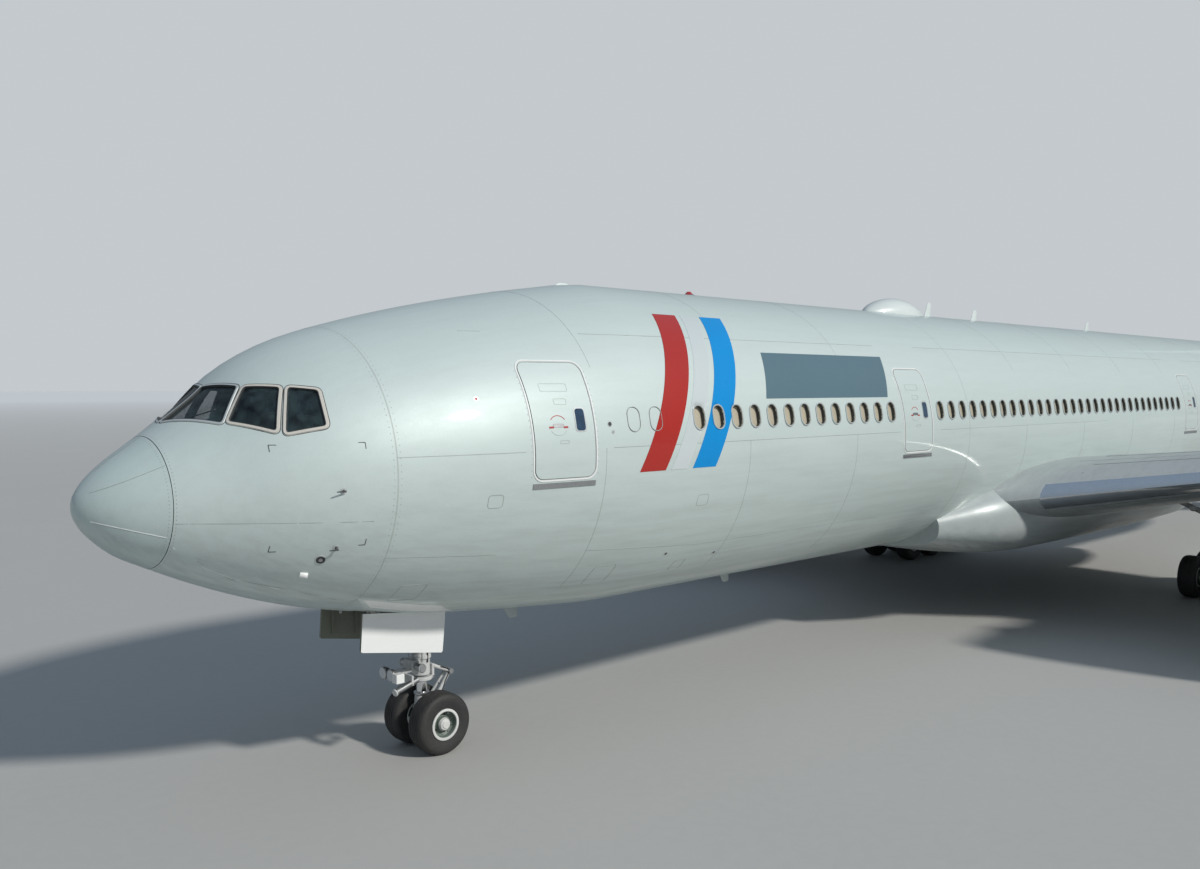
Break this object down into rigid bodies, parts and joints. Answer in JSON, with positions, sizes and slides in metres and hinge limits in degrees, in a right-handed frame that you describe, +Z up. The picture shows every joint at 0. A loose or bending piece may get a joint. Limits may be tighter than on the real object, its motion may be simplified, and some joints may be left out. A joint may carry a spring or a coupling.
{
  "type": "twin-engined wide body airliner, 1:2 scale model",
  "caption": "Twin-engined wide body airliner on its gear, 1:2 scale, with hinged control surfaces, cargo doors, steering and turning wheels and fans.",
  "frame": {"origin": "on the ground under the middle of the aircraft: bottom centre of its box", "axes": "+X towards the tail along the longest side, +Y to the right side (starboard), +Z up, the shortest side"},
  "size_m": [31.865, 30.465, 9.212],
  "materials": {
    "hull_paint": "gloss mica silver paint on aluminium skin",
    "radome_paint": "gloss silver paint on composite",
    "wing_paint": "satin grey paint on aluminium",
    "white_paint": "white paint on composite",
    "fairing_paint": "satin grey paint on composite",
    "fan_metal": "satin titanium",
    "core_metal": "heat-stained metal",
    "gear_paint": "white enamel on steel",
    "bare_steel": "bright machined steel",
    "tyre": "black rubber on painted rims",
    "glass": "dark laminated glass",
    "cabin_trim": "dark cockpit trim"
  },
  "bodies": {
    "airframe": {"radome": "radome_paint", "nose_section": "hull_paint", "flight_deck_glazing": "glass", "flight_deck_fit_out": "cabin_trim", "passenger_door_1_left": "hull_paint", "passenger_door_1_right": "hull_paint", "passenger_door_2_left": "hull_paint", "passenger_door_2_right": "hull_paint", "passenger_door_3_left": "hull_paint", "passenger_door_3_right": "hull_paint", "passenger_door_4_left": "hull_paint", "passenger_door_4_right": "hull_paint", "bulk_cargo_door": "hull_paint", "forward_fuselage": "hull_paint", "centre_fuselage": "hull_paint", "aft_fuselage": "hull_paint", "belly_fairing": "fairing_paint", "left_inboard_flap": "wing_paint", "left_outboard_flap": "wing_paint", "left_wing": "wing_paint", "left_nacelle": "hull_paint", "left_engine_core": "core_metal", "left_pylon": "wing_paint", "right_inboard_flap": "wing_paint", "right_outboard_flap": "wing_paint", "right_wing": "wing_paint", "right_nacelle": "hull_paint", "right_engine_core": "core_metal", "right_pylon": "wing_paint", "left_stabiliser": "wing_paint", "right_stabiliser": "wing_paint", "fin": "hull_paint", "tail_cone": "hull_paint", "satcom_radome": "white_paint", "left_main_bogie": "gear_paint", "left_main_gear_leg": "gear_paint", "right_main_bogie": "gear_paint", "right_main_gear_leg": "gear_paint", "nose_gear_leg": "gear_paint", "nose_gear_door_left": "white_paint", "nose_gear_door_right": "white_paint"},
    "nose_steering": {"nose_gear_steering": "bare_steel"},
    "nose_wheels": {"nose_wheels": "tyre"},
    "left_main_wheels_1": {"left_main_wheels_1": "tyre"},
    "left_main_wheels_2": {"left_main_wheels_2": "tyre"},
    "left_main_wheels_3": {"left_main_wheels_3": "tyre"},
    "left_fan": {"left_fan": "fan_metal"},
    "left_aileron": {"left_aileron": "wing_paint"},
    "left_flaperon": {"left_flaperon": "wing_paint"},
    "left_elevator": {"left_elevator": "wing_paint"},
    "right_main_wheels_1": {"right_main_wheels_1": "tyre"},
    "right_main_wheels_2": {"right_main_wheels_2": "tyre"},
    "right_main_wheels_3": {"right_main_wheels_3": "tyre"},
    "right_fan": {"right_fan": "fan_metal"},
    "right_aileron": {"right_aileron": "wing_paint"},
    "right_flaperon": {"right_flaperon": "wing_paint"},
    "right_elevator": {"right_elevator": "wing_paint"},
    "rudder": {"rudder": "hull_paint"},
    "forward_cargo_door": {"forward_cargo_door": "hull_paint"},
    "aft_cargo_door": {"aft_cargo_door": "hull_paint"}
  },
  "joints": [
    {"name": "nose_steering_turn", "type": "hinge", "parent": "airframe", "child": "nose_steering", "pos_m": [-13.0925, 0, 0.5], "axis": [0, 0, 1], "range_deg": [-70, 70]},
    {"name": "nose_wheels_roll", "type": "hinge", "parent": "nose_steering", "child": "nose_wheels", "pos_m": [-13.0425, 0, 0.27], "axis": [0, 1, 0], "continuous": true},
    {"name": "left_main_wheels_1_roll", "type": "hinge", "parent": "airframe", "child": "left_main_wheels_1", "pos_m": [-0.7825, -2.745, 0.3175], "axis": [0, 1, 0], "continuous": true},
    {"name": "left_main_wheels_2_roll", "type": "hinge", "parent": "airframe", "child": "left_main_wheels_2", "pos_m": [-0.0475, -2.745, 0.3175], "axis": [0, 1, 0], "continuous": true},
    {"name": "left_main_wheels_3_roll", "type": "hinge", "parent": "airframe", "child": "left_main_wheels_3", "pos_m": [0.6875, -2.745, 0.3175], "axis": [0, 1, 0], "continuous": true},
    {"name": "left_fan_spin", "type": "hinge", "parent": "airframe", "child": "left_fan", "pos_m": [-4.5325, -4.805, 1.35], "axis": [1, 0, 0], "continuous": true},
    {"name": "left_aileron_turn", "type": "hinge", "parent": "airframe", "child": "left_aileron", "pos_m": [3.0335, -11.35, 3.0667], "axis": [-0.4073, 0.9046, -0.1256], "range_deg": [-33, 19]},
    {"name": "left_flaperon_turn", "type": "hinge", "parent": "airframe", "child": "left_flaperon", "pos_m": [0.33109, -4.525, 2.18765], "axis": [-0.2004, 0.9711, -0.1298], "range_deg": [-11, 37]},
    {"name": "left_elevator_turn", "type": "hinge", "parent": "airframe", "child": "left_elevator", "pos_m": [13.73398, -1.325, 3.17941], "axis": [-0.358, 0.9268, -0.1138], "range_deg": [-33, 27]},
    {"name": "right_main_wheels_1_roll", "type": "hinge", "parent": "airframe", "child": "right_main_wheels_1", "pos_m": [-0.7825, 2.745, 0.3175], "axis": [0, 1, 0], "continuous": true},
    {"name": "right_main_wheels_2_roll", "type": "hinge", "parent": "airframe", "child": "right_main_wheels_2", "pos_m": [-0.0475, 2.745, 0.3175], "axis": [0, 1, 0], "continuous": true},
    {"name": "right_main_wheels_3_roll", "type": "hinge", "parent": "airframe", "child": "right_main_wheels_3", "pos_m": [0.6875, 2.745, 0.3175], "axis": [0, 1, 0], "continuous": true},
    {"name": "right_fan_spin", "type": "hinge", "parent": "airframe", "child": "right_fan", "pos_m": [-4.5325, 4.805, 1.35], "axis": [1, 0, 0], "continuous": true},
    {"name": "right_aileron_turn", "type": "hinge", "parent": "airframe", "child": "right_aileron", "pos_m": [3.0335, 11.35, 3.0667], "axis": [0.4073, 0.9046, 0.1256], "range_deg": [-33, 19]},
    {"name": "right_flaperon_turn", "type": "hinge", "parent": "airframe", "child": "right_flaperon", "pos_m": [0.33109, 4.525, 2.18765], "axis": [0.2004, 0.9711, 0.1298], "range_deg": [-11, 37]},
    {"name": "right_elevator_turn", "type": "hinge", "parent": "airframe", "child": "right_elevator", "pos_m": [13.73398, 1.325, 3.17941], "axis": [0.358, 0.9268, 0.1138], "range_deg": [-33, 27]},
    {"name": "rudder_turn", "type": "hinge", "parent": "airframe", "child": "rudder", "pos_m": [13.08782, 0, 4.522], "axis": [0.4238, 0, 0.9057], "range_deg": [-27, 27]},
    {"name": "forward_cargo_door_swing", "type": "hinge", "parent": "airframe", "child": "forward_cargo_door", "pos_m": [-10.0825, 1.49995, 2.272], "axis": [1, 0, 0], "range_deg": [0, 115]},
    {"name": "aft_cargo_door_swing", "type": "hinge", "parent": "airframe", "child": "aft_cargo_door", "pos_m": [5.3675, 1.49995, 2.272], "axis": [1, 0, 0], "range_deg": [0, 115]}
  ]
}
